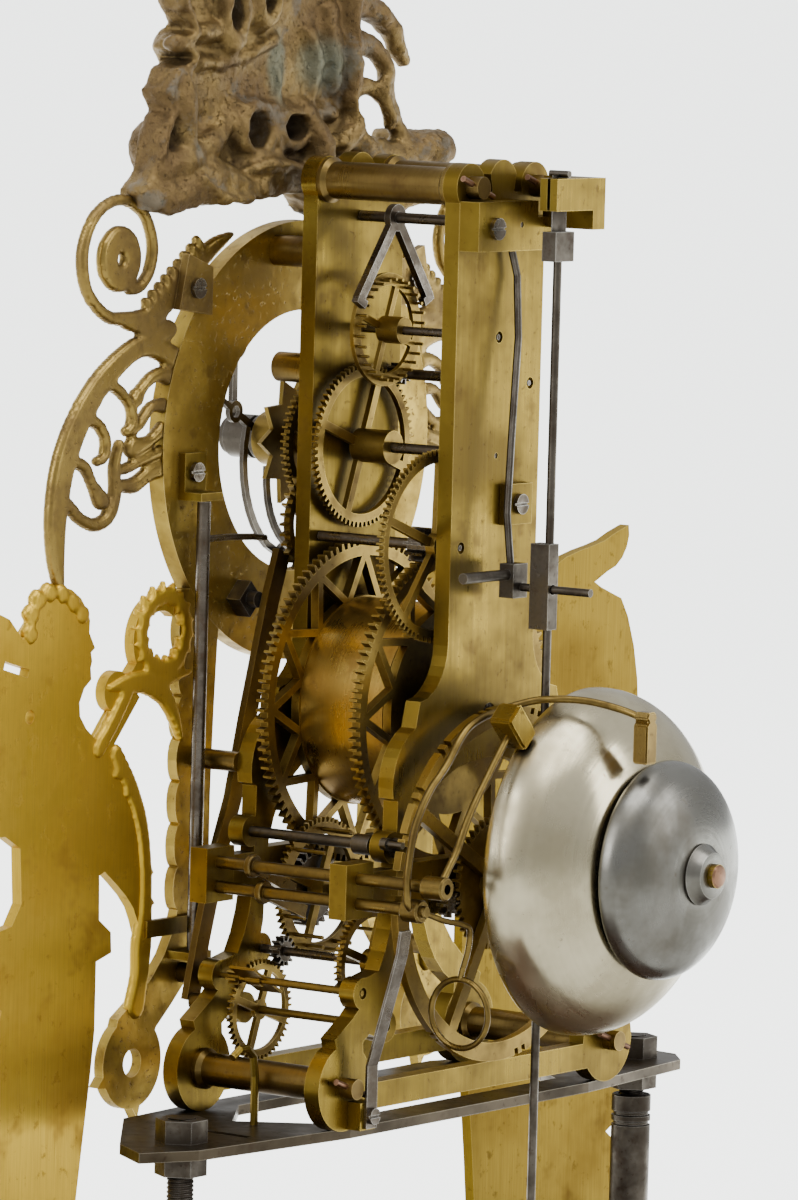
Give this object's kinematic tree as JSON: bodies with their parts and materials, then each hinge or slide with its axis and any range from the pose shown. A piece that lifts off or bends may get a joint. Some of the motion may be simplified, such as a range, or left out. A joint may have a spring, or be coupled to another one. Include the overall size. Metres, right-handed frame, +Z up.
{
  "type": "skeleton mantel clock",
  "caption": "Open-frame striking mantel clock with exposed wheel trains, bells, a short pendulum and gilt winged figures on a dark plinth.",
  "frame": {"origin": "middle of the underside, on the surface the plinth's feet stand on", "axes": "+X to the right seen from the front, +Y from the dial to the back, +Z up"},
  "size_m": [0.372, 0.206, 0.485],
  "materials": {
    "plate_brass": "aged, brushed",
    "gilt_brass": "matt gilt, brushed and aged",
    "wheel_brass": "aged, turned",
    "dark_steel": "darkened, satin",
    "bell_metal": "turned bell metal",
    "platform_steel": "browned",
    "crest_bronze": "brown patina",
    "pin_copper": "coppery, dull",
    "plinth_wood": "polished dark wood",
    "enamel": "enamel"
  },
  "bodies": {
    "frame": {"plinth": "plinth_wood", "plinth_feet": "gilt_brass", "platform": "platform_steel", "studs": "dark_steel", "nuts_and_bolts": "dark_steel", "front_plate": "plate_brass", "back_plate": "plate_brass", "pillars": "plate_brass", "taper_pins": "pin_copper", "frame_screws": "dark_steel", "dial_ring": "gilt_brass", "chapter_ring": "enamel", "dial_pillars": "plate_brass", "frame_legs": "gilt_brass", "side_scrolls": "gilt_brass", "left_figure": "gilt_brass", "right_figure": "gilt_brass", "crest": "crest_bronze", "back_cock": "plate_brass", "brackets": "plate_brass", "bell_stand": "plate_brass", "big_bell": "bell_metal", "small_bell": "bell_metal", "hammer_springs": "dark_steel", "side_strip": "dark_steel"},
    "barrel": {"barrel": "wheel_brass", "strike_great_wheel": "wheel_brass", "mainspring": "dark_steel"},
    "winding_arbor": {"barrel_arbor": "dark_steel"},
    "going_wheel": {"going_great_wheel": "wheel_brass"},
    "click": {"click": "dark_steel"},
    "intermediate": {"intermediate_arbor": "dark_steel", "intermediate_wheel": "wheel_brass"},
    "centre": {"centre_arbor": "dark_steel", "centre_wheel": "wheel_brass", "cannon_pinion": "dark_steel", "minute_hand": "dark_steel"},
    "third": {"third_arbor": "dark_steel", "third_wheel": "wheel_brass"},
    "escape": {"escape_arbor": "dark_steel", "escape_wheel": "wheel_brass"},
    "pin_wheel": {"pin_wheel_arbor": "dark_steel", "pin_wheel": "wheel_brass"},
    "strike": {"strike_arbor": "dark_steel", "strike_wheel": "wheel_brass"},
    "warning": {"warning_wheel": "wheel_brass"},
    "fly": {"fly": "wheel_brass"},
    "count_wheel": {"count_wheel": "wheel_brass"},
    "minute_wheel": {"minute_wheel": "wheel_brass"},
    "hour": {"hour_wheel": "wheel_brass", "hour_hand": "dark_steel"},
    "pallets": {"pallets": "dark_steel", "crutch": "dark_steel"},
    "pendulum": {"pendulum_rod": "dark_steel", "pendulum_bob": "wheel_brass"},
    "hour_hammer": {"hour_hammer": "dark_steel"},
    "quarter_hammer": {"quarter_hammer": "dark_steel"},
    "detent": {"detent": "dark_steel"},
    "lifting_rod": {"lifting_rod": "dark_steel"},
    "release_levers": {"release_levers": "dark_steel"}
  },
  "joints": [
    {"name": "centre_turn", "type": "hinge", "parent": "frame", "child": "centre", "pos_m": [0, -0.04155, 0.32933], "axis": [0, 1, 0], "continuous": true},
    {"name": "intermediate_turn", "type": "hinge", "parent": "frame", "child": "intermediate", "pos_m": [0.01627, -0.04155, 0.30319], "axis": [0, 1, 0], "continuous": true},
    {"name": "going_turn", "type": "hinge", "parent": "frame", "child": "going_wheel", "pos_m": [0, -0.04155, 0.254], "axis": [0, 1, 0], "continuous": true},
    {"name": "third_turn", "type": "hinge", "parent": "frame", "child": "third", "pos_m": [-0.01609, -0.04155, 0.35], "axis": [0, 1, 0], "continuous": true},
    {"name": "escape_turn", "type": "hinge", "parent": "frame", "child": "escape", "pos_m": [0, -0.04155, 0.36392], "axis": [0, 1, 0], "continuous": true},
    {"name": "minute_wheel_turn", "type": "hinge", "parent": "frame", "child": "minute_wheel", "pos_m": [0.0061, -0.04155, 0.30655], "axis": [0, 1, 0], "continuous": true},
    {"name": "hour_turn", "type": "hinge", "parent": "frame", "child": "hour", "pos_m": [0, -0.04155, 0.32933], "axis": [0, 1, 0], "continuous": true},
    {"name": "pin_turn", "type": "hinge", "parent": "frame", "child": "pin_wheel", "pos_m": [0.02179, -0.04155, 0.20006], "axis": [0, 1, 0], "continuous": true},
    {"name": "barrel_turn", "type": "hinge", "parent": "frame", "child": "barrel", "pos_m": [0, -0.04155, 0.254], "axis": [0, 1, 0], "continuous": true},
    {"name": "strike_turn", "type": "hinge", "parent": "frame", "child": "strike", "pos_m": [0.03939, -0.04155, 0.18313], "axis": [0, 1, 0], "continuous": true},
    {"name": "warning_turn", "type": "hinge", "parent": "frame", "child": "warning", "pos_m": [0.04655, -0.04155, 0.16635], "axis": [0, 1, 0], "continuous": true},
    {"name": "fly_turn", "type": "hinge", "parent": "frame", "child": "fly", "pos_m": [0.0585, -0.04155, 0.17712], "axis": [0, 1, 0], "continuous": true},
    {"name": "count_turn", "type": "hinge", "parent": "frame", "child": "count_wheel", "pos_m": [0, -0.04155, 0.2045], "axis": [0, 1, 0], "continuous": true},
    {"name": "winding_turn", "type": "hinge", "parent": "going_wheel", "child": "winding_arbor", "pos_m": [0, -0.04155, 0.254], "axis": [0, 1, 0], "range_deg": [0, 13]},
    {"name": "click_lift", "type": "hinge", "parent": "going_wheel", "child": "click", "pos_m": [-0.0115, -0.04155, 0.2696], "axis": [0, 1, 0], "range_deg": [-8.2, 0]},
    {"name": "pendulum_swing", "type": "hinge", "parent": "frame", "child": "pendulum", "pos_m": [0, -0.04155, 0.3976], "axis": [0, 1, 0], "range_deg": [-1.5, 1.5]},
    {"name": "pallet_rock", "type": "hinge", "parent": "frame", "child": "pallets", "pos_m": [0, -0.04155, 0.39692], "axis": [0, 1, 0], "range_deg": [-1.5, 1.5]},
    {"name": "hour_hammer_lift", "type": "hinge", "parent": "frame", "child": "hour_hammer", "pos_m": [0.062, -0.04155, 0.2106], "axis": [0, 1, 0], "range_deg": [0, 10]},
    {"name": "quarter_hammer_lift", "type": "hinge", "parent": "frame", "child": "quarter_hammer", "pos_m": [0.062, -0.04155, 0.2034], "axis": [0, 1, 0], "range_deg": [0, 10]},
    {"name": "detent_lift", "type": "hinge", "parent": "frame", "child": "detent", "pos_m": [0.0458, -0.04155, 0.2182], "axis": [0, 1, 0], "range_deg": [0, 8]},
    {"name": "release_lift", "type": "hinge", "parent": "frame", "child": "release_levers", "pos_m": [-0.009, -0.04155, 0.2944], "axis": [0, 1, 0], "range_deg": [0, 6]},
    {"name": "lifting_rod_turn", "type": "hinge", "parent": "frame", "child": "lifting_rod", "pos_m": [0.0526, -0.05675, 0.238], "axis": [0, 0, 1], "range_deg": [-6, 6]}
  ],
  "couplings": [
    {"joint": "intermediate_turn", "follows": "centre_turn", "ratio": -0.11905},
    {"joint": "going_turn", "follows": "centre_turn", "ratio": 0.011447},
    {"joint": "third_turn", "follows": "centre_turn", "ratio": -9},
    {"joint": "escape_turn", "follows": "centre_turn", "ratio": 105},
    {"joint": "minute_wheel_turn", "follows": "centre_turn", "ratio": -0.41667},
    {"joint": "hour_turn", "follows": "centre_turn", "ratio": 0.083333},
    {"joint": "barrel_turn", "follows": "pin_turn", "ratio": -0.23077},
    {"joint": "strike_turn", "follows": "pin_turn", "ratio": -5.1667},
    {"joint": "warning_turn", "follows": "pin_turn", "ratio": 36.167},
    {"joint": "fly_turn", "follows": "pin_turn", "ratio": -289.33},
    {"joint": "count_turn", "follows": "pin_turn", "ratio": -0.17778},
    {"joint": "click_lift", "follows": "winding_turn", "ratio": -0.62},
    {"joint": "pallet_rock", "follows": "pendulum_swing", "ratio": 1}
  ]
}
